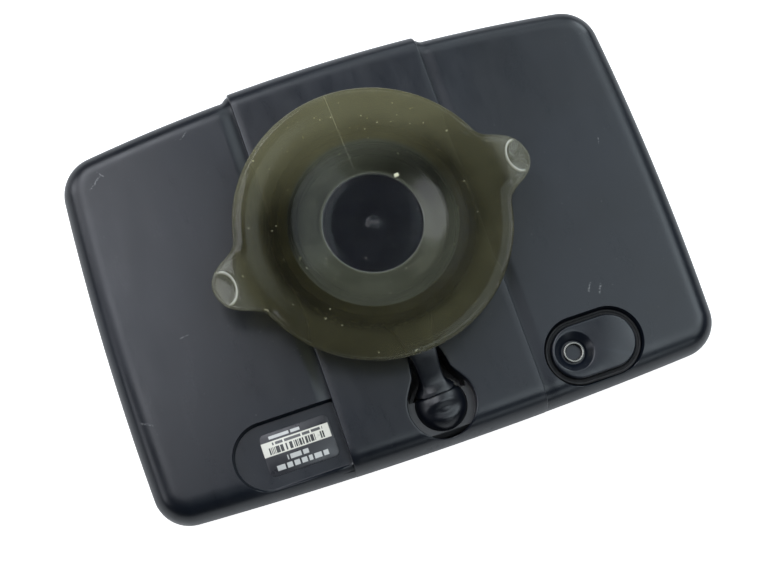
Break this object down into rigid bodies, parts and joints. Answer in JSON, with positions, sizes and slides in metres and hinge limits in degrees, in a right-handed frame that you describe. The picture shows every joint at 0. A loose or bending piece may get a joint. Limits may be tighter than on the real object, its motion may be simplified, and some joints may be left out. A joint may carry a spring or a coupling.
{
  "type": "portable satellite navigation unit with folding windscreen mount",
  "caption": "Slim arched navigation unit lying on its screen, with a raised spine on its back and a ball-jointed suction mount folded flat over it",
  "frame": {"origin": "Centre of the unit's footprint, on the surface that it lies on screen down", "axes": "+X along the long side, +Y towards the arched edge (the lower edge in use), +Z out of the back"},
  "size_m": [0.1366, 0.0962, 0.028],
  "materials": {
    "housing_plastic": "fine-grained matt dark navy moulding with light scuffs",
    "spine_plastic": "fine-grained matt dark navy moulding",
    "mount_plastic": "smooth satin black moulding",
    "lock_plastic": "satin dark grey moulding",
    "plunger_plastic": "glossy navy black moulding seen through the cup",
    "socket_plastic": "slippery black acetal",
    "screen_glass": "anti-glare touch panel",
    "display_black": "display module with its light off",
    "steel": "plated steel",
    "ribbon_film": "amber polyimide ribbon",
    "board_green": "green solder mask",
    "chip_black": "black moulded packages",
    "antenna_ceramic": "ceramic patch antenna",
    "battery_foil": "foil pouch cell",
    "foam": "closed-cell foam",
    "speaker_plastic": "black loudspeaker frame and cone",
    "jack_metal": "plated brass coaxial socket",
    "seal_rubber": "black rubber",
    "label_film": "printed film label with plain bars",
    "cup_rubber": "translucent smoky olive rubber"
  },
  "bodies": {
    "root": {"back_cover": "housing_plastic", "spine_cover": "spine_plastic", "front_bezel": "housing_plastic", "touch_panel": "screen_glass", "display_module": "display_black", "display_frame": "steel", "display_ribbon": "ribbon_film", "main_board": "board_green", "board_chips": "chip_black", "board_shield": "steel", "satellite_antenna": "antenna_ceramic", "battery": "battery_foil", "battery_pad": "foam", "speaker": "speaker_plastic", "speaker_gasket": "foam", "usb_socket": "steel", "power_switch": "chip_black", "aerial_jack": "jack_metal", "jack_contact": "jack_metal", "jack_insert": "housing_plastic", "jack_seal": "seal_rubber", "rating_label": "label_film", "case_screws": "steel", "board_screws": "steel", "ball_socket": "socket_plastic", "socket_collar": "socket_plastic", "socket_screws": "steel"},
    "button": {"power_button": "housing_plastic"},
    "swivel": {"swivel_seat": "socket_plastic"},
    "arm": {"mount_arm": "mount_plastic", "swivel_ball": "mount_plastic", "ball_ring": "seal_rubber", "ball_screw": "steel", "pressure_plate": "mount_plastic", "head_screws": "steel", "suction_cup": "cup_rubber"},
    "lock": {"lock_ring": "lock_plastic", "grip_band": "seal_rubber"},
    "plunger": {"plunger": "plunger_plastic", "cross_pin": "steel"}
  },
  "joints": [
    {"name": "power_press", "type": "slide", "parent": "root", "child": "button", "axis": [0, -1, 0], "range_m": [0, 0.0005], "stiffness_N_per_m": 1500, "springref_m": -0.0002},
    {"name": "mount_swivel", "type": "hinge", "parent": "root", "child": "swivel", "pos_m": [0, -0.039, 0.0118], "axis": [0, 0, 1], "range_deg": [-7.5, 1.5]},
    {"name": "mount_fold", "type": "hinge", "parent": "swivel", "child": "arm", "pos_m": [0, -0.039, 0.0118], "axis": [0.9986, 0.0523, 0], "range_deg": [0, 95]},
    {"name": "lock_turn", "type": "hinge", "parent": "arm", "child": "lock", "pos_m": [-0.00221, 0.00324, 0.02], "axis": [0, 0, 1], "range_deg": [0, 90]},
    {"name": "plunger_pull", "type": "slide", "parent": "arm", "child": "plunger", "axis": [0, 0, -1], "range_m": [0, 0.0015], "deforming": ["suction_cup"]}
  ],
  "couplings": [
    {"joint": "lock_turn", "follows": "plunger_pull", "rad_per_m": 1047.2}
  ]
}
